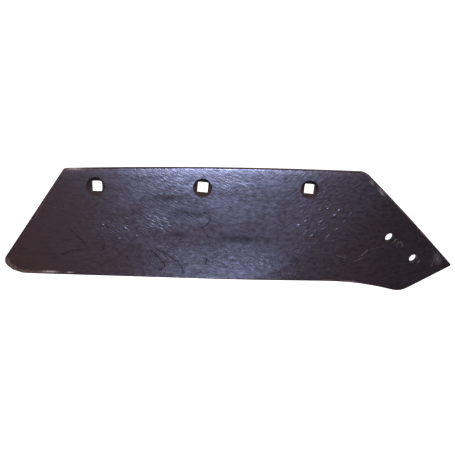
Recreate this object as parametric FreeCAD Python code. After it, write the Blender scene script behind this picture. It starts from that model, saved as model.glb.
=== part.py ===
"""Plough share: the wide steel blade that cuts the bottom of the furrow slice.

It is one piece of forged and rolled steel plate. A row of countersunk square holes along the
top edge takes the plough bolts of the frog, the nose falls away in a shallow bend and carries
two round holes for a bolted point, and the whole cutting edge is thinned from behind.

The plate is drawn flat in its own frame: the middle plough bolt at the origin, the bolt row
along X, the front face in the plane Z = 0 and the material below it. At the end it is laid on
its back as it comes to rest, with the middle of its box over the origin.
"""

import FreeCAD, Part
import math
import os
from FreeCAD import Vector

# ---------------------------------------------------------------- driving dimensions, mm
plate_thickness = 12.0
up = Vector(0, 0, 1)

# Corners of the blade, going round from the wing's top corner: X, Y, rounding radius.
# The crown and the landside belly are corners so blunt that their edges become long arcs.
wing_top = (-170.4, 22.0, 2.0)
top_crown = (13.5, 27.0, 5600.0)
landside_top = (201.1, 22.2, 13.0)
landside_belly = (262.1, -36.8, 3900.0)
tip = (321.3, -97.8, 2.0)
bulge = (256.9, -134.4, 26.0)
hook = (201.0, -120.2, 370.0)
wing_heel = (-237.8, -111.8, 6.0)
wing_point = (-253.4, -97.2, 11.0)
blade_corners = [wing_top, top_crown, landside_top, landside_belly, tip, bulge, hook,
                 wing_heel, wing_point]

# Nose bend: the plate falls away along this bearing, from this distance off the middle bolt.
fall_bearing = -64.3
bend_start = 104.0
bend_angle = 7.0
bend_radius = 360.0

# Thinning of the cutting edges from behind: width of each bevel and what is left at the edge.
cutting_bevel = 38.0
nose_bevel = 20.0
edge_thickness = 3.0
bevel_overrun = 6.0
cutter_depth = 60.0
cutter_overrun = 40.0
curved_rail_spacing = 12.0
straight_rail_spacing = 40.0

# The wing's lower corner is rolled over backwards on a large radius outside this line.
roll_from = (-248.0, -91.0)
roll_to = (-200.0, -112.0)
roll_radius = 25.0
roll_reach = 20.0
roll_length = 140.0

# Plough-bolt holes: a punched square under a round conical countersink, whose round bottom
# cuts the square's corners short.
bolt_pitch = 132.0
countersink_angle = 80.0
countersink_root = 11.0
corner_reach = 9.0
# Wing, middle and landside hole. Punched hot, they differ a little: countersink X, Y and
# diameter, square's side, square's X and Y off its countersink, and its turn in degrees.
bolt_holes = [
    (-bolt_pitch, 0.0, 23.4, 13.2, 0.6, 0.0, 0.0),
    (0.0, 0.0, 23.6, 13.1, 0.0, 0.1, -5.0),
    (bolt_pitch + 0.5, -0.3, 22.6, 12.5, 0.2, 0.0, -5.0),
]

# Round holes of the bolted point, drilled square to the bent nose.
point_hole_diameter = 12.0
first_point_hole = (236.9, -61.3)
point_hole_pitch = 44.0
point_hole_bearing = -40.0
point_hole_rim = 0.6

# Roundings of the rolled plate's own edges, and how near an edge must lie to count as a rim.
front_edge_radius = 1.2
back_edge_radius = 0.8
rim_nearness = 0.2
on_face = 0.01

# How far the uncut slab reaches past the middle bolt on all sides.
slab_reach = 420.0

# ---------------------------------------------------------------- the bent front surface
fall = Vector(math.cos(math.radians(fall_bearing)), math.sin(math.radians(fall_bearing)), 0)
bend_axis = up.cross(fall)
bend_reach = bend_radius * math.sin(math.radians(bend_angle))
bend_drop = bend_radius * (1 - math.cos(math.radians(bend_angle)))
nose_slope = math.tan(math.radians(bend_angle))
nose_normal = (up + fall * nose_slope).normalize()


def front_height(x, y):
    """Height of the front surface over a place in plan: flat, then the bend, then the nose."""
    along = Vector(x, y, 0).dot(fall) - bend_start
    if along <= 0:
        return 0.0
    if along <= bend_reach:
        return math.sqrt(bend_radius ** 2 - along ** 2) - bend_radius
    return -bend_drop - (along - bend_reach) * nose_slope


def inside_plate(x, y, depth):
    """Point at a depth under the front surface."""
    return Vector(x, y, front_height(x, y) - depth)


# ---------------------------------------------------------------- outline of the blade
def plan(corner):
    return Vector(corner[0], corner[1], 0)


def rounding(before, corner, after):
    """Tangent arc at one corner of an outline, as start, middle and end points."""
    place, radius = plan(corner), corner[2]
    back = (plan(before) - place).normalize()
    ahead = (plan(after) - place).normalize()
    half = back.getAngle(ahead) / 2
    tangent = radius / math.tan(half)
    bisector = (back + ahead).normalize()
    middle = place + bisector * (radius / math.sin(half) - radius)
    return place + back * tangent, middle, place + ahead * tangent


def rounded_outline(corners):
    """Closed plan outline through corners given as X, Y, radius."""
    count = len(corners)
    arcs = [rounding(corners[i - 1], corners[i], corners[(i + 1) % count]) for i in range(count)]
    edges = []
    for i, (start, middle, end) in enumerate(arcs):
        edges.append(Part.Arc(start, middle, end).toShape())
        following = arcs[(i + 1) % count][0]
        edges.append(Part.LineSegment(end, following).toShape())
    return Part.Wire(edges)


# ---------------------------------------------------------------- the bent plate
def bent_slab():
    """Plate of even thickness, flat and then bent, wider than the blade on all sides."""
    turn = math.radians(bend_angle)
    centre = fall * bend_start - up * bend_radius

    def on_bend(radius, angle):
        return centre + fall * (radius * math.sin(angle)) + up * (radius * math.cos(angle))

    def side(radius):
        start, middle, end = [on_bend(radius, turn * part) for part in (0, 0.5, 1)]
        far = end + (fall - up * nose_slope).normalize() * slab_reach
        near = start - fall * slab_reach
        return near, start, middle, end, far

    front = side(bend_radius)
    back = side(bend_radius - plate_thickness)
    edges = []
    for near, start, middle, end, far in (front, back):
        edges += [Part.LineSegment(near, start).toShape(), Part.Arc(start, middle, end).toShape(),
                  Part.LineSegment(end, far).toShape()]
    edges += [Part.LineSegment(front[0], back[0]).toShape(),
              Part.LineSegment(front[4], back[4]).toShape()]
    section = Part.Face(Part.Wire(Part.__sortEdges__(edges)))
    section.translate(bend_axis * -slab_reach)
    return section.extrude(bend_axis * (2 * slab_reach))


def round_rims(plate, outline):
    """Round the front and back rims of the plate, all the way round its outline."""
    for radius, depth in ((front_edge_radius, 0.0), (back_edge_radius, plate_thickness)):
        rim = []
        for edge in plate.Edges:
            middle = edge.valueAt((edge.FirstParameter + edge.LastParameter) / 2)
            in_plan = Part.Vertex(middle.x, middle.y, 0)
            under_front = front_height(middle.x, middle.y) - middle.z
            off_rim = max(outline.distToShape(in_plan)[0], abs(under_front - depth))
            if off_rim < rim_nearness:
                rim.append(edge)
        plate = plate.makeFillet(radius, rim)
    return plate


def blade_blank():
    """The blade sheared to its outline, bent at the nose and with its rims rounded."""
    outline = rounded_outline(blade_corners)
    prism = Part.Face(outline).extrude(up * 2 * cutter_depth)
    prism.translate(up * -cutter_depth)
    return round_rims(bent_slab().common(prism).Solids[0], outline)


# ---------------------------------------------------------------- thinned edges
def bevel_cutter(edge_path, width):
    """What is ground off the back along an edge: everything under a bevel that starts
    edge_thickness below the front and reaches the back face at the bevel's width."""
    slope = (plate_thickness - edge_thickness) / width
    rails = []
    for inward in (-bevel_overrun, width + bevel_overrun):
        depth = edge_thickness + inward * slope
        rail = Part.BSplineCurve()
        rail.interpolate([inside_plate(p.x + n.x * inward, p.y + n.y * inward, depth)
                          for p, n in edge_path])
        rails.append(rail.toShape())
    return Part.makeRuledSurface(*rails).extrude(up * -cutter_depth)


def path_along(corners, spacing):
    """Plan points on an open, rounded run of corners, each with its inward direction."""
    first, last = plan(corners[0]), plan(corners[-1])
    edges, at = [], first
    for before, corner, after in zip(corners, corners[1:], corners[2:]):
        start, middle, end = rounding(before, corner, after)
        edges += [Part.LineSegment(at, start).toShape(), Part.Arc(start, middle, end).toShape()]
        at = end
    edges.append(Part.LineSegment(at, last).toShape())
    run = Part.Wire(edges)
    points = run.discretize(Number=int(run.Length / spacing))
    path = []
    for i, point in enumerate(points):
        ahead = points[min(i + 1, len(points) - 1)] - points[max(i - 1, 0)]
        path.append((point, ahead.cross(up).normalize()))
    return path


def beyond(start, end):
    """The corner a cutter reaches by going on past the second of two corners."""
    place = plan(end) + (plan(end) - plan(start)).normalize() * cutter_overrun
    return (place.x, place.y, 0.0)


def cutting_edge_cutter():
    """Wide bevel from the wing heel along the straight edge, round the hook and past the bulge."""
    run = [beyond(hook, bulge), hook, beyond(hook, wing_heel)]
    return bevel_cutter(path_along(run, curved_rail_spacing), cutting_bevel)


def nose_edge_cutter():
    """Narrower bevel on the straight front edge of the nose, from the bulge past the tip."""
    run = [beyond(bulge, tip), beyond(tip, bulge)]
    return bevel_cutter(path_along(run, straight_rail_spacing), nose_bevel)


def rolled_corner_cutter():
    """What the roll takes off the front of the wing's lower corner."""
    start = Vector(roll_from[0], roll_from[1], 0)
    run = (Vector(roll_to[0], roll_to[1], 0) - start).normalize()
    out = run.cross(up)
    sweep = math.asin(roll_reach / roll_radius)

    def on_roll(angle):
        return out * (roll_radius * math.sin(angle)) - up * (roll_radius * (1 - math.cos(angle)))

    tangent, middle, end = on_roll(0), on_roll(sweep / 2), on_roll(sweep)
    above = up * plate_thickness
    section = Part.Wire([Part.Arc(tangent, middle, end).toShape(),
                         Part.LineSegment(end, end + above).toShape(),
                         Part.LineSegment(end + above, tangent + above).toShape(),
                         Part.LineSegment(tangent + above, tangent).toShape()])
    cutter = Part.Face(section).extrude(run * roll_length)
    cutter.translate(start - run * cutter_overrun)
    return cutter


# ---------------------------------------------------------------- holes
def plough_bolt_cutter(x, y, diameter, side, square_x, square_y, turn):
    """Conical countersink that runs out on the sides of a square hole with shortened corners."""
    flare = math.tan(math.radians(countersink_angle / 2))
    depth = (diameter - countersink_root) / 2 / flare
    above = 1.0
    cone = Part.makeCone(countersink_root / 2, diameter / 2 + above * flare,
                         depth + above, Vector(x, y, -depth))
    square = Part.makeBox(side, side, 2 * plate_thickness,
                          Vector(-side / 2, -side / 2, -1.5 * plate_thickness))
    square.rotate(Vector(), up, turn)
    square.translate(Vector(x + square_x, y + square_y, 0))
    bottom = Part.makeCylinder(corner_reach, 2 * plate_thickness,
                               Vector(x, y, -1.5 * plate_thickness))
    return cone.fuse(square.common(bottom))


def point_hole_cutter(index):
    """Round hole with a worn rim, drilled along the normal of the nose."""
    bearing = math.radians(point_hole_bearing)
    place = Vector(first_point_hole[0] + index * point_hole_pitch * math.cos(bearing),
                   first_point_hole[1] + index * point_hole_pitch * math.sin(bearing), 0)
    mouth = inside_plate(place.x, place.y, 0)
    radius = point_hole_diameter / 2
    drill = Part.makeCylinder(radius, 2 * plate_thickness, mouth + nose_normal * plate_thickness / 2,
                              nose_normal * -1)
    rim = Part.makeCone(radius + 2 * point_hole_rim, radius, 2 * point_hole_rim,
                        mouth + nose_normal * point_hole_rim, nose_normal * -1)
    return drill.fuse(rim)


# ---------------------------------------------------------------- the whole share
def plough_share():
    share = blade_blank()
    for cutter in (cutting_edge_cutter(), nose_edge_cutter(), rolled_corner_cutter()):
        share = share.cut(cutter)
    for hole in bolt_holes:
        share = share.cut(plough_bolt_cutter(*hole))
    for index in (0, 1):
        share = share.cut(point_hole_cutter(index))
    return share.Solids[0]


def laid_on_its_back(share):
    """The blade as it rests on a floor. It bears on the heel of the nose, where the two bevels
    meet, and on the two corners of the back face at the wing. The middle of its box is brought
    over the origin and its lowest point onto the floor."""
    corners = [vertex.Point for vertex in share.Vertexes]
    heel = min(corners, key=lambda point: point.z)
    back = [point for point in corners if abs(point.z + plate_thickness) < on_face]
    low_corner = min(back, key=lambda point: point.x)
    top_corner = min(back, key=lambda point: point.distanceToPoint(plan(wing_top)))
    floor_normal = (heel - low_corner).cross(top_corner - low_corner).normalize()
    laid = share.copy()
    laid.Placement = FreeCAD.Placement(Vector(), FreeCAD.Rotation(floor_normal, up))
    box = laid.optimalBoundingBox()
    laid.translate(Vector(-box.Center.x, -box.Center.y, -box.ZMin))
    return laid


os.makedirs("parts", exist_ok=True)
laid_on_its_back(plough_share()).exportStep("parts/plough_share.step")
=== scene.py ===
import math
import bmesh
import bpy
import numpy as np
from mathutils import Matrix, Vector, noise
from mathutils.bvhtree import BVHTree
from mathutils.geometry import delaunay_2d_cdt
from mathutils.kdtree import KDTree


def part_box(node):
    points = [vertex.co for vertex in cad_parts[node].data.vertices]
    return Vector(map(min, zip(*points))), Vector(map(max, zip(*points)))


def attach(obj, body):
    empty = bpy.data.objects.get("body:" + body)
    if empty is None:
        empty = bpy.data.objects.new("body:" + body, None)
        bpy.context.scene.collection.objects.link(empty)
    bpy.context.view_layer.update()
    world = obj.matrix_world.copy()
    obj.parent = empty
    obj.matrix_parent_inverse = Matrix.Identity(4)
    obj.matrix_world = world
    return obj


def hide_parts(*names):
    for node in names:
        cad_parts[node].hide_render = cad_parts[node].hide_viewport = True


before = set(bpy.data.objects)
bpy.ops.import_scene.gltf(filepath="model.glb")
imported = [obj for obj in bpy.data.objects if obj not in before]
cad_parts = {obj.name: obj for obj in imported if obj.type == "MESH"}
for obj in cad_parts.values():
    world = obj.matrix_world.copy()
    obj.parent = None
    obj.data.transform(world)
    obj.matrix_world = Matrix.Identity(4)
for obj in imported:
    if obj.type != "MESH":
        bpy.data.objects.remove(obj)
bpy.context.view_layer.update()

# ------------------------------------------------------------------ the blade's skin
# The share is one piece of rolled steel plate, sheared, punched, bent at the nose and ground thin
# from behind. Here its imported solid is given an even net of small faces, fine enough for the waves,
# scale and dents that rolling, forging and handling leave on it.
cad_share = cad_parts["plough_share"]
front_net = 0.00115
back_net = 0.0026
rim_net = 0.0016
# The least gap between the net's points, in metres: at marks, over the front and over the back.
mark_gap = 0.00034
front_gap = 0.0006
back_gap = 0.0013
# How far the finer net reaches beside a mark, and its step, in mm.
run_reach = 1.6
run_step = 0.5
scratch_reach = 1.0
scratch_step = 0.4
spatter_step = 0.45
lying_face = 0.86
crease = math.radians(15)

# Where paint ran and dried in a bead: the points of each bead's path, in mm.
paint_runs = [
    [(-33.0, 22.5), (-29.2, 20.2), (-25.1, 14.3), (-30.1, 7.0), (-36.0, 4.0)],
    [(-101.0, -25.5), (-94.1, -31.5), (-87.6, -38.2), (-82.9, -45.6), (-89.7, -52.0)],
    [(-92.0, -24.5), (-80.9, -30.3), (-69.6, -38.0), (-61.1, -46.7), (-59.8, -55.5)],
    [(-30.3, -32.0), (-29.6, -37.0), (-31.4, -43.4)],
    [(-200.0, -1.0), (-194.3, -6.6), (-184.4, -16.1), (-179.0, -25.3)],
    [(-179.0, -25.3), (-190.0, -26.0), (-199.9, -27.9), (-212.3, -33.0)],
    [(-161.5, -8.0), (-158.6, -13.5), (-158.1, -17.7), (-160.2, -25.5)],
]
# Scale and weld spatter under the paint towards the nose: middle x, y, length, width, height in
# mm and bearing in degrees.
spatter = [
    (129.9, 21.3, 7.0, 1.7, 0.16, 32), (135.1, 28.0, 3.2, 1.9, 0.20, 20),
    (133.4, 4.2, 6.5, 1.6, 0.18, 24), (123.6, -4.6, 4.6, 1.8, 0.20, 30),
    (101.9, -4.9, 4.4, 1.6, 0.17, 40), (85.5, 8.5, 3.0, 2.0, 0.20, 10),
    (93.8, 13.3, 3.4, 1.6, 0.14, 25), (95.2, 0.9, 3.0, 1.7, 0.14, 30),
    (106.4, 1.1, 4.0, 1.5, 0.15, 35), (101.1, -19.0, 3.4, 2.2, 0.15, 0),
    (112.3, 13.1, 6.0, 1.7, 0.14, 30), (116.4, 4.3, 5.0, 1.5, 0.14, 28),
    (142.2, 13.5, 5.0, 1.6, 0.12, 42), (109.6, -11.2, 4.2, 1.5, 0.13, 38),
    (129.8, -11.1, 5.2, 1.4, 0.12, 35), (118.0, -21.0, 4.4, 1.5, 0.12, 30),
    (143.0, -2.0, 4.8, 1.4, 0.12, 40), (88.0, -8.0, 4.0, 1.4, 0.10, 25),
    (150.0, 24.0, 4.5, 1.4, 0.10, 40), (121.0, 30.0, 5.0, 1.5, 0.10, 30),
    (-117.5, -7.8, 2.6, 1.3, 0.16, -20), (-132.0, 2.4, 3.2, 1.2, 0.15, -35),
    (-160.0, 5.8, 2.4, 1.2, 0.14, -30), (-140.0, -11.0, 4.4, 1.3, 0.14, 4),
]
# Scratches from stones and handling: the path in mm, then the groove's width and depth.
scratches = [
    ([(174.2, -23.6), (171.0, -26.5), (167.3, -30.2)], 0.9, 0.16),
    ([(174.2, -23.6), (184.2, -20.4), (195.5, -18.3)], 0.6, 0.07),
    ([(134.8, -29.9), (140.0, -32.0), (146.7, -33.4)], 0.8, 0.12),
    ([(158.5, -38.0), (162.0, -37.0), (167.5, -34.0)], 0.8, 0.12),
    ([(266.0, -24.5), (262.6, -34.0), (259.4, -45.5)], 0.8, 0.14),
    ([(269.2, -27.0), (266.4, -34.5), (264.2, -43.0)], 0.7, 0.12),
    ([(272.6, -30.0), (270.4, -36.0), (269.0, -42.0)], 0.7, 0.12),
    ([(261.0, -29.0), (258.4, -37.0), (257.2, -44.0)], 0.6, 0.08),
]
# A half ring pressed up beside the first point hole where the punch was set down twice.
pressed_ring = [(211.6, -18.6), (212.0, -14.8), (214.4, -12.3), (217.4, -14.2), (218.6, -18.4)]


def welded_copy(node):
    """The solid's own faces with their corners joined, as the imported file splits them."""
    body = bmesh.new()
    body.from_mesh(node.data)
    bmesh.ops.remove_doubles(body, verts=body.verts, dist=2e-6)
    bmesh.ops.dissolve_degenerate(body, dist=1e-5, edges=body.edges)
    bmesh.ops.triangulate(body, faces=body.faces)
    body.normal_update()
    return body


def open_fields(body):
    """Takes out the faces that lie on the front and back, marks the edges they leave open and
    the creases between them with the side they belong to, and drops the other bare edges."""
    side_mark = body.edges.layers.int.new("side_mark")
    for side in (1, -1):
        field = [face for face in body.faces if face.normal.z * side > lying_face]
        inside = set(field)
        inner = []
        for edge in {edge for face in field for edge in face.edges}:
            within = all(face in inside for face in edge.link_faces)
            if within and edge.calc_face_angle(0.0) < crease:
                inner.append(edge)
            else:
                edge[side_mark] = side
        bmesh.ops.delete(body, geom=field, context="FACES_ONLY")
        bmesh.ops.delete(body, geom=inner, context="EDGES")
    bare = [vert for vert in body.verts if not vert.link_edges]
    bmesh.ops.delete(body, geom=bare, context="VERTS")


def split_long_edges(body, longest):
    """Cuts every edge into short lengths and the faces between them into triangles."""
    by_cuts = {}
    for edge in body.edges:
        cuts = math.ceil(edge.calc_length() / longest) - 1
        if cuts > 0:
            by_cuts.setdefault(cuts, []).append(edge)
    for cuts in sorted(by_cuts):
        bmesh.ops.subdivide_edges(body, edges=by_cuts[cuts], cuts=cuts)
    bmesh.ops.triangulate(body, faces=body.faces, quad_method="BEAUTY", ngon_method="BEAUTY")


def even_points(low, high, spacing):
    """Staggered rows of points over a rectangle, each nudged a little off its place."""
    points = []
    row_height = spacing * math.sqrt(3) / 2
    for row in range(int((high.y - low.y) / row_height) + 1):
        for column in range(int((high.x - low.x) / spacing) + 1):
            x = low.x + (column + 0.5 * (row % 2)) * spacing
            y = low.y + row * row_height
            nudge = noise.noise_vector(Vector((x, y, 0)) * 900) * spacing * 0.15
            points.append(Vector((x + nudge.x, y + nudge.y)))
    return points


def smooth_path(points, pieces=8):
    """A flowing curve through the points, as closely set points in mm."""
    ends = [points[0]] + list(points) + [points[-1]]
    path = []
    for a, b, c, d in zip(ends, ends[1:], ends[2:], ends[3:]):
        a, b, c, d = Vector(a), Vector(b), Vector(c), Vector(d)
        for piece in range(pieces):
            t = piece / pieces
            path.append(0.5 * (2 * b + (c - a) * t + (2 * a - 5 * b + 4 * c - d) * t ** 2
                               + (3 * b - a - 3 * c + d) * t ** 3))
    return path + [Vector(points[-1])]


def band_points(path, reach, step):
    """Rows of points in mm along both sides of a path."""
    points = []
    travelled = 0.0
    for a, b in zip(path, path[1:]):
        run = b - a
        if run.length == 0:
            continue
        across = Vector((-run.y, run.x)).normalized()
        while travelled < run.length:
            middle = a + run * (travelled / run.length)
            rows = round(reach / step)
            points += [middle + across * (row * step) for row in range(-rows, rows + 1)]
            travelled += step
        travelled -= run.length
    return points


def mark_points():
    """The net's extra points, in metres, where runs, spatter and scratches need finer faces."""
    points = []
    for run in paint_runs + [pressed_ring]:
        points += band_points(smooth_path(run), run_reach, run_step)
    for path, _, _ in scratches:
        points += band_points(smooth_path(path), scratch_reach, scratch_step)
    for x, y, length, width, _, bearing in spatter:
        along = Vector((math.cos(math.radians(bearing)), math.sin(math.radians(bearing))))
        ends = [Vector((x, y)) - along * length * 0.6, Vector((x, y)) + along * length * 0.6]
        points += band_points(ends, width * 0.9, spatter_step)
    return [point * 0.001 for point in points]


def clear_of(places, points, reach):
    """The points that keep at least reach from every place and from the points before them."""
    filled = {}

    def cell(p):
        return math.floor(p.x / reach), math.floor(p.y / reach)

    for p in places:
        filled.setdefault(cell(p), []).append(p)
    clear = []
    for q in points:
        i, j = cell(q)
        around = (p for di in (-1, 0, 1) for dj in (-1, 0, 1)
                  for p in filled.get((i + di, j + dj), ()))
        if all((p - q).length > reach for p in around):
            clear.append(q)
            filled.setdefault((i, j), []).append(q)
    return clear


def regions(triangles, walls):
    """The triangles in groups that no wall divides."""
    by_edge = {}
    for number, triangle in enumerate(triangles):
        for a, b in zip(triangle, triangle[1:] + triangle[:1]):
            by_edge.setdefault(frozenset((a, b)), []).append(number)
    neighbours = [[] for _ in triangles]
    for pair, numbers in by_edge.items():
        if len(numbers) == 2 and pair not in walls:
            neighbours[numbers[0]].append(numbers[1])
            neighbours[numbers[1]].append(numbers[0])
    seen = [False] * len(triangles)
    groups = []
    for first in range(len(triangles)):
        if seen[first]:
            continue
        seen[first] = True
        members = [first]
        for number in members:
            for other in neighbours[number]:
                if not seen[other]:
                    seen[other] = True
                    members.append(other)
        groups.append(members)
    return groups


def refill(body, solid, side, net_points):
    """Fills the front (side 1) or back (side -1) with an even net dropped onto the solid. Its
    outline and creases are the marked edges."""
    side_mark = body.edges.layers.int["side_mark"]
    lying = body.verts.layers.int["lying"]
    face_side = body.faces.layers.int["face_side"]
    kept = [edge for edge in body.edges if edge[side_mark] == side]
    rim = sorted({vert for edge in kept for vert in edge.verts}, key=lambda vert: vert.index)
    place = {vert: i for i, vert in enumerate(rim)}
    for vert in rim:
        vert[lying] = 2 * side

    def drop(x, y):
        hit, normal, _, _ = solid.ray_cast(Vector((x, y, side)), Vector((0, 0, -side)))
        return hit.z if hit is not None and normal.z * side > lying_face else None

    flat = [vert.co.xy for vert in rim]
    points = flat + [point for point in net_points(flat) if drop(point.x, point.y) is not None]
    edges = [(place[edge.verts[0]], place[edge.verts[1]]) for edge in kept]
    corners, _, triangles, origins, _, _ = delaunay_2d_cdt(points, edges, [], 0, 1e-9)
    output_of = {first: i for i, origin in enumerate(origins) for first in origin}
    walls = {frozenset((output_of[a], output_of[b])) for a, b in edges}
    verts = []
    for corner, origin in zip(corners, origins):
        if origin and min(origin) < len(rim):
            verts.append(rim[min(origin)])
        else:
            vert = body.verts.new((corner.x, corner.y, drop(corner.x, corner.y) or 0.0))
            vert[lying] = side
            verts.append(vert)
    for members in regions(triangles, walls):
        covered, whole = 0.0, 0.0
        for number in members:
            a, b, c = (corners[i] for i in triangles[number])
            area = abs((b - a).cross(c - a))
            middle = (a + b + c) / 3
            covered += area if drop(middle.x, middle.y) is not None else 0.0
            whole += area
        if covered > 0.5 * whole:
            for number in members:
                corner_verts = [verts[i] for i in triangles[number][::side]]
                if not body.faces.get(corner_verts):
                    body.faces.new(corner_verts)[face_side] = side
    bare = [edge for edge in body.edges if not edge.link_faces and edge[side_mark] == side]
    bmesh.ops.delete(body, geom=bare, context="EDGES")
    bare = [vert for vert in body.verts if not vert.link_edges]
    bmesh.ops.delete(body, geom=bare, context="VERTS")


low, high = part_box("plough_share")
share_body = welded_copy(cad_share)
share_body.verts.layers.int.new("lying")
share_body.faces.layers.int.new("face_side")
solid_tree = BVHTree.FromBMesh(share_body)
open_fields(share_body)
split_long_edges(share_body, rim_net)


def front_points(rim):
    fine = clear_of(rim, mark_points(), mark_gap)
    return fine + clear_of(rim + fine, even_points(low, high, front_net), front_gap)


def back_points(rim):
    return clear_of(rim, even_points(low, high, back_net), back_gap)


refill(share_body, solid_tree, 1, front_points)
refill(share_body, solid_tree, -1, back_points)
share_body.normal_update()
share_mesh = bpy.data.meshes.new("plough_share_skin")
share_body.to_mesh(share_mesh)
share_body.free()

# ------------------------------------------------------------------ the blade's relief
# Hot rolling leaves long shallow waves, the press leaves the nose bend and the rolled wing corner
# round, and paint, scale and stones leave beads, bumps and scratches. All of it goes into the
# metal, never out of it. Sizes are in mm.
bend_passes = 140
roll_passes = 14
roll_line = [(-283.6, -37.1), (-235.7, -58.1)]
skin_depth = 3.0
sink = 0.27
spatter_growth = 1.5
spatter_spread = 1.2
run_groove = 0.06
run_groove_width = 0.6
run_bead = 0.04
run_bead_width = 1.4
run_mark_width = 0.95
ring_height = 0.14
ring_width = 0.7
wave_sizes = [(75.0, 26.0, 0.14), (30.0, 10.0, 0.05), (9.0, 5.0, 0.016)]
# Long hollows along the rolling direction: middle x, y, length, width, depth.
hollows = [
    (-76.0, 41.0, 44.0, 6.0, 0.07), (-55.0, 21.5, 50.0, 5.0, 0.08),
    (-67.0, -4.0, 34.0, 5.0, 0.07), (11.6, -8.5, 68.0, 9.0, 0.12),
    (82.6, -36.2, 9.0, 6.0, 0.06), (-196.0, -20.0, 30.0, 8.0, 0.06),
]

count = len(share_mesh.vertices)
places = np.empty(count * 3)
share_mesh.vertices.foreach_get("co", places)
places = places.reshape(count, 3) * 1000
lying = np.empty(count, dtype=np.int32)
share_mesh.attributes["lying"].data.foreach_get("value", lying)
ends = np.empty(len(share_mesh.edges) * 2, dtype=np.int32)
share_mesh.edges.foreach_get("vertices", ends)
ends = ends.reshape(-1, 2)
x, y = places[:, 0].copy(), places[:, 1].copy()


def beyond_roll(x, y):
    """How far a point lies outside the line the wing corner is rolled about."""
    (ax, ay), (bx, by) = roll_line
    length = math.hypot(bx - ax, by - ay)
    return ((x - ax) * (by - ay) - (y - ay) * (bx - ax)) / length


def relax(moving, passes):
    """Eases the facets of bent parts: each moving point goes to its neighbours' mean height."""
    joined = np.bincount(ends[:, 0], minlength=count) + np.bincount(ends[:, 1], minlength=count)
    for _ in range(passes):
        z = places[:, 2]
        total = np.bincount(ends[:, 0], z[ends[:, 1]], count)
        total += np.bincount(ends[:, 1], z[ends[:, 0]], count)
        places[moving, 2] = (total / np.maximum(joined, 1))[moving]


net_vertex = np.abs(lying) == 1
at_roll = net_vertex & (beyond_roll(x, y) > -6)
relax(at_roll, roll_passes)
relax(net_vertex & ~at_roll & (x > 100), bend_passes)


def lattice(step_x, step_y, layer):
    """Smooth noise over the blade, between about -1 and 1, one cell to a step."""
    return np.array([noise.noise(Vector((a, b, layer))) for a, b in zip(x / step_x, y / step_y)])


def from_path(path):
    """Distance of every point of the blade from a path."""
    nearest = np.full(count, np.inf)
    for a, b in zip(path, path[1:]):
        run = b - a
        if run.length == 0:
            continue
        t = np.clip(((x - a.x) * run.x + (y - a.y) * run.y) / run.length_squared, 0, 1)
        nearest = np.minimum(nearest, np.hypot(x - a.x - t * run.x, y - a.y - t * run.y))
    return nearest


def mound(middle_x, middle_y, length, width, bearing=0.0):
    """A rounded patch, 1 in its middle and fading out at about its length and width."""
    cosine, sine = math.cos(math.radians(bearing)), math.sin(math.radians(bearing))
    along = (x - middle_x) * cosine + (y - middle_y) * sine
    across = (y - middle_y) * cosine - (x - middle_x) * sine
    return np.exp(-(2 * along / length) ** 2 - (2 * across / width) ** 2)


def strongest(values, patches):
    """The values raised to the strongest patch: each is what mound takes, then its strength."""
    for *patch, strength in patches:
        values = np.maximum(values, strength * mound(*patch))
    return values


depth = np.full(count, sink)
for layer, (step_x, step_y, height) in enumerate(wave_sizes):
    depth += height * lattice(step_x, step_y, layer + 0.5)
for middle_x, middle_y, length, width, deep in hollows:
    depth += deep * mound(middle_x, middle_y, length, width)
run_mark = np.zeros(count)
for run in paint_runs:
    distance = from_path(smooth_path(run))
    groove = run_groove * np.exp(-(distance / run_groove_width) ** 2)
    depth += groove - run_bead * np.exp(-(distance / run_bead_width) ** 2)
    run_mark = np.maximum(run_mark, np.exp(-(distance / run_mark_width) ** 2))
run_mark *= np.interp(x, [-150, -100], [0.55, 1.0]) * (1.0 + 0.5 * lattice(7, 7, 11.5))
off_ring = from_path(smooth_path(pressed_ring))
depth -= ring_height * np.exp(-(off_ring / ring_width) ** 2)
for middle_x, middle_y, length, width, height, bearing in spatter:
    bump = mound(middle_x, middle_y, length, spatter_spread * width, bearing)
    depth -= spatter_growth * height * bump
scuff = np.zeros(count)
deepest_scratch = max(deep for _, _, deep in scratches)
for path, width, deep in scratches:
    groove = np.exp(-(2 * from_path(smooth_path(path)) / width) ** 2)
    depth += deep * groove
    scuff = np.maximum(scuff, deep / deepest_scratch * groove)
depth = np.maximum(depth, 0)

# The plate's top margin falls away a little towards its sheared edge.
margin_width = 11.0
margin_fall = 0.13
top_edge = [Vector(p) for p in [(-202.5, 77.3), (-99.6, 79.8), (22.9, 79.9), (154.1, 78.0)]]
off_top_edge = from_path(top_edge)
depth += margin_fall * np.clip(1 - off_top_edge / margin_width, 0, 1) ** 2

# The relief fades out down the rim and inside the holes, by depth under the nearest front edge.
front_rim = np.flatnonzero(lying == 2)
rim_tree = KDTree(len(front_rim))
for number in front_rim:
    rim_tree.insert((x[number], y[number], 0), int(number))
rim_tree.balance()
under_front = np.zeros(count)
rim_distance = np.zeros(count)
for number in range(count):
    if lying[number] < 2:
        _, nearest, distance = rim_tree.find((x[number], y[number], 0))
        rim_distance[number] = distance
        if lying[number] < 1:
            under_front[number] = places[nearest, 2] - places[number, 2]
fade = np.where(lying < 0, 0, np.clip(1 - under_front / skin_depth, 0, 1))
places[:, 2] -= depth * fade

# The back is left rougher by the rolls and the grinder; it sinks into the plate from below.
behind = lying == -1
back_depth = 0.12 + 0.12 * lattice(40, 18, 7.5) + 0.03 * lattice(8, 8, 8.5)
places[behind, 2] += np.maximum(back_depth, 0)[behind] * np.clip(rim_distance[behind] / 4, 0, 1)
share_mesh.vertices.foreach_set("co", (places / 1000).ravel())

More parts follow.
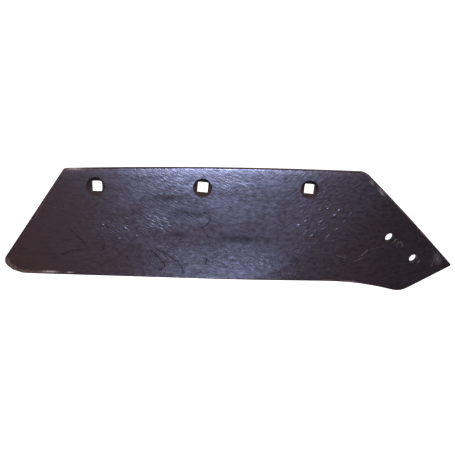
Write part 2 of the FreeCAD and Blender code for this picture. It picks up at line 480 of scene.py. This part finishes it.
# Where the paint has gone, and painted edge highlights: rubbed edges, the dragged wing corner and the
# tip, with light lines painted along the top-left, landside, cutting and nose edges as their
# highlights.
roll_wear = smooth_path([(-283.0, -40.0), (-277.0, -49.5), (-264.0, -56.0), (-236.0, -58.5)])
rubbed_and_highlit_edges = [
    ([(-205.5, 77.5), (-244.5, 13.0)], 1.3, 0.38), ([(-206.0, 77.6), (-180.0, 77.6)], 1.2, 0.6),
    ([(166.0, 74.0), (281.5, -39.0)], 0.9, 0.45), ([(-236.0, -58.6), (-150.0, -60.9)], 1.0, 0.55),
    ([(120.0, -63.0), (176.0, -69.5)], 1.0, 0.4),
]
rubbed_and_highlit_places = [
    (174.0, 66.0, 9.0, 3.6, -45, 0.6), (185.0, 54.0, 11.0, 2.8, -45, 0.75),
    (208.0, 32.0, 12.0, 1.8, -45, 0.5), (244.4, -3.0, 8.0, 2.0, -45, 0.5),
    (-192.0, 75.6, 24.0, 2.2, 0, 1.1), (-216.0, 29.0, 12.0, 8.0, 30, 0.2),
]
wear_and_edge_highlight = 0.62 * np.exp(-(from_path(roll_wear) / 4.0) ** 2)
for path, width, strength in rubbed_and_highlit_edges:
    off_edge = from_path([Vector(p) for p in path])
    wear_and_edge_highlight = np.maximum(wear_and_edge_highlight, strength * np.exp(-(off_edge / width) ** 2))
wear_and_edge_highlight = strongest(wear_and_edge_highlight, rubbed_and_highlit_places)
# Bright colour of bare steel and painted glints: painted glints on the cutting edge, the nose's
# bottom edge and the hole rims, and bare steel at knocks on the landside and at the tip.
bare_and_glint_places = [
    (-228.0, -55.4, 17.0, 1.9, -1, 0.75), (-203.0, -56.0, 8.0, 1.5, -1, 0.55),
    (173.4, 62.6, 6.0, 2.2, -40, 0.26), (186.0, 50.4, 9.0, 1.6, -45, 0.42),
    (240.6, -39.0, 5.0, 1.3, 42, 0.6), (207.3, -10.6, 5.0, 1.3, 42, 0.6),
    (266.0, -35.0, 16.0, 7.0, -62, 0.10), (-193.0, 75.6, 16.0, 1.8, 0, 0.55),
    (168.0, 73.5, 5.0, 3.0, -20, 0.35), (159.5, -67.2, 20.0, 2.2, -10, 0.35),
]
# The pressed ring gets a painted glint along its crown.
painted_ring_glint = 0.09 * np.exp(-(off_ring / 0.9) ** 2)
bare = np.maximum(0.24 * scuff ** 1.5, painted_ring_glint)
bare = strongest(bare, bare_and_glint_places)
# Darker, duller streaks that lie along the blade, and a painted sheen: a lighter colour near the top
# edge.
dark_streaks = [
    (-75.4, 39.7, 52.0, 6.0, 0.9), (-54.4, 19.8, 58.0, 5.5, 0.9), (-66.9, -5.8, 34.0, 5.0, 0.8),
    (12.1, -9.9, 80.0, 11.0, 0.9), (82.6, -36.2, 12.0, 8.0, 0.9),
]
dark_streak = strongest(np.zeros(count), dark_streaks)
# Painted sheen: a lighter colour near the top edge, standing in for the lamp's reflection along it.
painted_top_sheen = np.exp(-(off_top_edge / 8.0) ** 2)
# Where the paint dried rough: middle x, y, length, width and strength; smoother at the wing.
grain_places = [
    (-147.0, 2.0, 84.0, 48.0, 0.72), (-70.0, -33.0, 92.0, 48.0, 1.0),
    (25.0, -32.0, 126.0, 48.0, 1.0), (105.0, 36.0, 126.0, 84.0, 0.48),
    (112.0, 4.0, 126.0, 98.0, 0.62), (-96.0, 6.0, 62.0, 42.0, 0.9),
    (150.0, -30.0, 84.0, 70.0, 0.7), (180.0, 25.0, 70.0, 70.0, 0.6),
]
grain = np.interp(x, [-200, -90], [0.12, 0.34])
grain = strongest(grain, grain_places)


def keep_attribute(name, values, domain="POINT"):
    layer = share_mesh.attributes.new(name, "FLOAT", domain)
    layer.data.foreach_set("value", np.clip(values, 0, 1).astype(np.float32))


# The walls of the holes and the sheared rim are told apart by place.
face_count = len(share_mesh.polygons)
middles = np.empty(face_count * 3)
share_mesh.polygons.foreach_get("center", middles)
middles = middles.reshape(face_count, 3) * 1000
face_side = np.empty(face_count, dtype=np.int32)
share_mesh.attributes["face_side"].data.foreach_get("value", face_side)
hole_places = [(-167.2, 53.9, 14.0), (-35.2, 53.9, 14.0), (97.3, 53.6, 14.0), (201.7, -7.4, 9.0),
               (235.5, -35.8, 9.0)]
near_hole = np.zeros(face_count, dtype=bool)
# Painted light and shade inside the holes: 1 at a bolt hole's lit foot, 0 at its shaded head; the
# point holes get an even 0.3.
painted_hole_light = np.zeros(face_count)
for hole_x, hole_y, reach in hole_places:
    off_x, off_y = middles[:, 0] - hole_x, middles[:, 1] - hole_y
    near = np.hypot(off_x, off_y) < reach
    near_hole |= near
    foot = 0.5 - 0.5 * off_y / np.maximum(np.hypot(off_x, off_y), 0.1)
    painted_hole_light[near] = foot[near] if reach > 10 else 0.3
keep_attribute("in_hole", near_hole & (face_side == 0), "FACE")
keep_attribute("sheared_rim", ~near_hole & (face_side == 0), "FACE")
keep_attribute("painted_hole_light", painted_hole_light, "FACE")
keep_attribute("wear_and_edge_highlight", wear_and_edge_highlight)
# bare holds both bare steel and painted glints.
keep_attribute("bare", bare)
keep_attribute("dark_streak", dark_streak)
keep_attribute("painted_top_sheen", painted_top_sheen)
keep_attribute("run", run_mark)
keep_attribute("grain", grain)
share_mesh.shade_smooth()
share_mesh.set_sharp_from_angle(angle=math.radians(32))
# The mouth of each hole stays a crisp edge.
corner_edges = np.empty(len(share_mesh.loops), dtype=np.int32)
share_mesh.loops.foreach_get("edge_index", corner_edges)
corners_per_face = np.empty(face_count, dtype=np.int32)
share_mesh.polygons.foreach_get("loop_total", corners_per_face)
corner_wall = np.repeat(near_hole & (face_side == 0), corners_per_face)
corner_field = np.repeat(near_hole & (face_side != 0), corners_per_face)
on_wall = np.zeros(len(share_mesh.edges), dtype=bool)
on_wall[corner_edges[corner_wall]] = True
on_field = np.zeros(len(share_mesh.edges), dtype=bool)
on_field[corner_edges[corner_field]] = True
sharp = np.zeros(len(share_mesh.edges), dtype=bool)
share_mesh.attributes["sharp_edge"].data.foreach_get("value", sharp)
share_mesh.attributes["sharp_edge"].data.foreach_set("value", sharp | (on_wall & on_field))
share = bpy.data.objects.new("plough_share_skin", share_mesh)
bpy.context.scene.collection.objects.link(share)

# ------------------------------------------------------------------ the blade's paint
# A thin dark purple-brown shop paint over rolled steel, glossy enough to show a sheen that its
# specular tint paints blue, browner and thinner towards the wing, rubbed through to rusty steel along
# edges and corners. Painted into its colour as well: a lighter purple sheen over the flat blade,
# highlights along the edges, glints, and shade and light inside the holes.
paint = bpy.data.materials.new("dark_painted_steel")
paint.use_nodes = True
nodes, links = paint.node_tree.nodes, paint.node_tree.links
shader = nodes["Principled BSDF"]


def node(kind, **settings):
    made = nodes.new("ShaderNode" + kind)
    for name, value in settings.items():
        setattr(made, name, value)
    return made


def math_node(operation, a, b):
    made = node("Math", operation=operation)
    for socket, value in zip(made.inputs, (a, b)):
        if isinstance(value, (int, float)):
            socket.default_value = value
        else:
            links.new(value, socket)
    return made.outputs[0]


def ramp(source, low, high, low_out=0.0, high_out=1.0):
    made = node("MapRange")
    links.new(source, made.inputs["Value"])
    values = {"From Min": low, "From Max": high, "To Min": low_out, "To Max": high_out}
    for name, value in values.items():
        made.inputs[name].default_value = value
    return made.outputs[0]


def blend(amount, a, b):
    made = node("Mix", data_type="RGBA")
    links.new(amount, made.inputs["Factor"])
    for socket, value in ((made.inputs[6], a), (made.inputs[7], b)):
        if isinstance(value, tuple):
            socket.default_value = (*value, 1)
        else:
            links.new(value, socket)
    return made.outputs[2]


def attribute(name):
    return node("Attribute", attribute_name=name).outputs["Fac"]


def grains(scale_x, scale_y, detail=2.0, bearing=0.0):
    """Noise stretched along a bearing on the blade, in cells per metre."""
    turned = node("VectorRotate", rotation_type="Z_AXIS")
    turned.inputs["Angle"].default_value = math.radians(-bearing)
    links.new(node("TexCoord").outputs["Object"], turned.inputs["Vector"])
    mapping = node("Mapping")
    links.new(turned.outputs[0], mapping.inputs["Vector"])
    mapping.inputs["Scale"].default_value = (scale_x, scale_y, scale_x)
    made = node("TexNoise")
    made.inputs["Scale"].default_value = 1.0
    made.inputs["Detail"].default_value = detail
    links.new(mapping.outputs[0], made.inputs["Vector"])
    return made.outputs["Fac"]


# The blade's lighter purple is a painted sheen that fades out towards the darker nose, whose colour
# holds painted shade.
nose_paint_and_painted_shade = (0.0215, 0.0122, 0.0132)
blade_paint_and_painted_sheen = (0.0355, 0.0198, 0.0215)
wing_brown = (0.0415, 0.0208, 0.0160)
streak_colour = (0.012, 0.008, 0.011)
# Rust colours of the worn paint, also used for the painted edge highlights.
rust_and_highlight_brown = (0.08, 0.042, 0.037)
rust_and_highlight_pink = (0.20, 0.125, 0.118)
# Painted sheen colour for the top edge.
painted_top_sheen_colour = (0.082, 0.050, 0.056)
mottle_colour = (0.012, 0.007, 0.009)
dark_streak_colour = (0.017, 0.011, 0.012)
run_colour = (0.010, 0.005, 0.006)
rim_colour = (0.075, 0.042, 0.036)
# Colour of bare steel, also used for the painted glints.
bare_steel_and_glint_colour = (0.60, 0.52, 0.54)
# Painted shade and painted light for the hole walls.
painted_hole_shade_colour = (0.013, 0.010, 0.012)
painted_hole_light_colour = (0.062, 0.040, 0.040)
# Heights of the paint's own bumps, in metres.
streak_height = 0.00003
grain_depth = 0.00042
speck_height = 0.00004

place = node("SeparateXYZ")
links.new(node("TexCoord").outputs["Object"], place.inputs[0])
cloud = grains(22, 40, 3.0)
streak = grains(60, 420, 3.0)
speck = grains(700, 900, 2.0)
mottle = grains(160, 250, 4.0)
towards_wing = ramp(place.outputs["X"], -0.02, -0.28)
brown_amount = math_node("MULTIPLY", towards_wing, ramp(cloud, 0.3, 0.7, 0.55, 1.0))
# Painted sheen and shade: lighter purple over the flat blade, darker over the bent nose.
colour = blend(ramp(place.outputs["X"], 0.21, 0.13), nose_paint_and_painted_shade, blade_paint_and_painted_sheen)
colour = blend(brown_amount, colour, wing_brown)
colour = blend(math_node("MULTIPLY", ramp(streak, 0.35, 0.75, 0.0, 0.5), ramp(cloud, 0.4, 0.6)),
               colour, streak_colour)
ragged = ramp(speck, 0.3, 0.7, -0.3, 0.3)
# Painted edge highlights and real wear show through as the same rust colours.
wear_and_highlight_mask = ramp(math_node("ADD", attribute("wear_and_edge_highlight"), ragged), 0.25, 0.75)
wear_and_highlight_colour = blend(speck, rust_and_highlight_brown, rust_and_highlight_pink)
# Painted sheen: lighter colour near the top edge.
colour = blend(math_node("MULTIPLY", attribute("painted_top_sheen"), ramp(cloud, 0.3, 0.7, 0.35, 1.0)),
               colour, painted_top_sheen_colour)
mottling = ramp(place.outputs["X"], -0.22, -0.10, 0.3, 1.0)
colour = blend(math_node("MULTIPLY", ramp(mottle, 0.42, 0.7, 0.0, 0.5), mottling),
               colour, mottle_colour)
colour = blend(attribute("dark_streak"), colour, dark_streak_colour)
colour = blend(attribute("run"), colour, run_colour)
colour = blend(attribute("sheared_rim"), colour, rim_colour)
colour = blend(wear_and_highlight_mask, colour, wear_and_highlight_colour)
# Painted glints and bare steel: the bright colour where bare is set.
colour = blend(math_node("MULTIPLY", attribute("bare"), ramp(speck, 0.3, 0.7, 0.5, 1.3)),
               colour, bare_steel_and_glint_colour)
# Painted shade and light on the hole walls: dark at their head, lighter brown at their foot.
painted_hole_shading = blend(ramp(attribute("painted_hole_light"), 0.1, 0.9), painted_hole_shade_colour, painted_hole_light_colour)
colour = blend(attribute("in_hole"), colour, painted_hole_shading)
links.new(colour, shader.inputs["Base Color"])
shine = ramp(cloud, 0.35, 0.65, 0.245, 0.285)
shine = math_node("ADD", shine, math_node("MULTIPLY", wear_and_highlight_mask, 0.18))
shine = math_node("ADD", shine, math_node("MULTIPLY", attribute("sheared_rim"), 0.35))
shine = math_node("ADD", shine, math_node("MULTIPLY", attribute("in_hole"), 0.2))
links.new(shine, shader.inputs["Roughness"])
shader.inputs["IOR"].default_value = 1.75
# The blue specular tint paints a blue reflection: the white lamps' sheen on the paint comes out blue,
# as a window's light would.
shader.inputs["Specular Tint"].default_value = (0.48, 0.57, 0.97, 1)
dull = math_node("ADD", attribute("sheared_rim"), attribute("in_hole"))
dull = math_node("ADD", dull, math_node("MULTIPLY", attribute("run"), 0.8))
dull = math_node("ADD", dull, math_node("MULTIPLY", attribute("dark_streak"), 0.85))
uneven = math_node("MULTIPLY", ramp(mottle, 0.3, 0.7, 0.4, -0.4), mottling)
gloss = math_node("MULTIPLY", ramp(dull, 0, 1, 0.5, 0.10), math_node("ADD", uneven, 1.0))
links.new(gloss, shader.inputs["Specular IOR Level"])

streak_bump = node("Bump")
links.new(streak, streak_bump.inputs["Height"])
streak_bump.inputs["Distance"].default_value = streak_height
grain_bump = node("Bump")
grain_height = node("Mix", data_type="FLOAT")
links.new(ramp(place.outputs["X"], 0.03, 0.09), grain_height.inputs["Factor"])
links.new(grains(150, 420, 2.5, -24), grain_height.inputs[2])
links.new(grains(150, 400, 2.5, 34), grain_height.inputs[3])
rough_places = math_node("MULTIPLY", grain_height.outputs[0], attribute("grain"))
links.new(rough_places, grain_bump.inputs["Height"])
grain_bump.inputs["Distance"].default_value = grain_depth
links.new(streak_bump.outputs[0], grain_bump.inputs["Normal"])
speck_bump = node("Bump")
links.new(speck, speck_bump.inputs["Height"])
speck_bump.inputs["Distance"].default_value = speck_height
links.new(grain_bump.outputs[0], speck_bump.inputs["Normal"])
links.new(speck_bump.outputs[0], shader.inputs["Normal"])
share_mesh.materials.append(paint)
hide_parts("plough_share")
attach(share, "root")

# ------------------------------------------------------------------ the floor
# A plain pale studio floor under the share. It shows white around it and darkens where the share
# keeps the light off it.
bpy.ops.mesh.primitive_circle_add(vertices=96, radius=4.0, fill_type="NGON")
floor = bpy.context.object
floor.name = "studio_floor"
pale = bpy.data.materials.new("pale_floor")
pale.use_nodes = True
nodes, links = pale.node_tree.nodes, pale.node_tree.links
nodes.remove(nodes["Principled BSDF"])
matt = node("BsdfDiffuse")
matt.inputs["Color"].default_value = (0.8, 0.8, 0.8, 1)
glow = node("Emission")
from_middle = node("VectorMath", operation="LENGTH")
links.new(node("TexCoord").outputs["Object"], from_middle.inputs[0])
seen = node("LightPath").outputs["Is Camera Ray"]
glow_level = ramp(from_middle.outputs["Value"], 0.5, 1.6, 0.74, 0.98)
links.new(math_node("MULTIPLY", seen, glow_level), glow.inputs["Strength"])
both = node("AddShader")
links.new(matt.outputs[0], both.inputs[0])
links.new(glow.outputs[0], both.inputs[1])
links.new(both.outputs[0], nodes["Material Output"].inputs["Surface"])
floor.data.materials.append(pale)

# ------------------------------------------------------------------ lamps and surroundings
# One soft lamp hangs above the camera, on the bolt holes' side, and a weaker one on the cutting
# edge's side. The room around them is a dim even grey that looks white to the camera.


def soft_lamp(name, place, aim, length, width, watts):
    """A soft lamp, long across the view, hung at place and turned to aim."""
    lamp = bpy.data.objects.new(name, bpy.data.lights.new(name, "AREA"))
    lamp.data.shape = "RECTANGLE"
    lamp.data.size = length
    lamp.data.size_y = width
    lamp.data.energy = watts
    lamp.location = place
    lamp.rotation_euler = (Vector(aim) - lamp.location).to_track_quat("-Z", "Y").to_euler()
    bpy.context.scene.collection.objects.link(lamp)


lamp_aim = (-0.02, 0.0, 0.0)
soft_lamp("main_lamp", (-0.043, 0.159, 0.896), lamp_aim, 0.30, 0.10, 7.4)
soft_lamp("low_lamp", (-0.020, -0.33, 0.71), lamp_aim, 0.30, 0.12, 0.9)

world = bpy.data.worlds.new("studio")
world.use_nodes = True
nodes, links = world.node_tree.nodes, world.node_tree.links
room = nodes["Background"]
room.inputs["Color"].default_value = (1, 1, 1, 1)
room.inputs["Strength"].default_value = 0.12
white = node("Background")
white.inputs["Color"].default_value = (1, 1, 1, 1)
white.inputs["Strength"].default_value = 1.0
choice = node("MixShader")
links.new(node("LightPath").outputs["Is Camera Ray"], choice.inputs["Fac"])
links.new(room.outputs[0], choice.inputs[1])
links.new(white.outputs[0], choice.inputs[2])
links.new(choice.outputs[0], nodes["World Output"].inputs["Surface"])
bpy.context.scene.world = world

# ------------------------------------------------------------------ the camera
# Nearly straight down, from beyond the bolt holes.
camera = bpy.data.objects.new("camera", bpy.data.cameras.new("camera"))
camera.data.lens = 45.89
camera.data.sensor_width = 36
camera.location = (-0.019474, 0.15636, 0.725673)
camera.rotation_euler = [math.radians(angle) for angle in (-12.0956, -1.1122, 0.7316)]
bpy.context.scene.collection.objects.link(camera)
bpy.context.scene.camera = camera
bpy.context.scene.view_settings.view_transform = "Standard"
